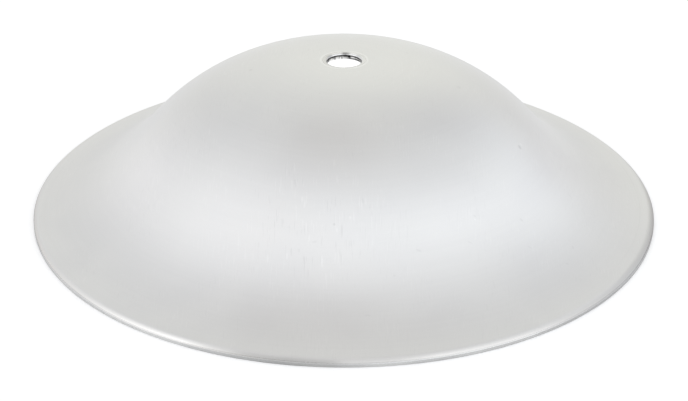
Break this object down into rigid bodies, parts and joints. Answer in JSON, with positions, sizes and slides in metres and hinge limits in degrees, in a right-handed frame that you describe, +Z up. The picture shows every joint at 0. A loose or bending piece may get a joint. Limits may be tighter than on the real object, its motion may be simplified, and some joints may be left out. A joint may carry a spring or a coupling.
{
  "type": "bell cymbal",
  "caption": "Round metal percussion bell with a domed crown that sweeps out into a wide sloping flange, hung on a stand rod through a plain hole at its top.",
  "frame": {"origin": "on the axis of the hole, in the plane that the rim stands on", "axes": "+Z up along the axis, from the open mouth to the crown; X and Y lie in the rim's plane and are free to choose, because the piece is turned"},
  "size_m": [0.2414, 0.2414, 0.0587],
  "materials": {
    "shell": "pale satin, with a fine dull grain and no lacquer sheen"
  },
  "bodies": {
    "root": {"cymbal_shell": "shell"}
  },
  "joints": []
}
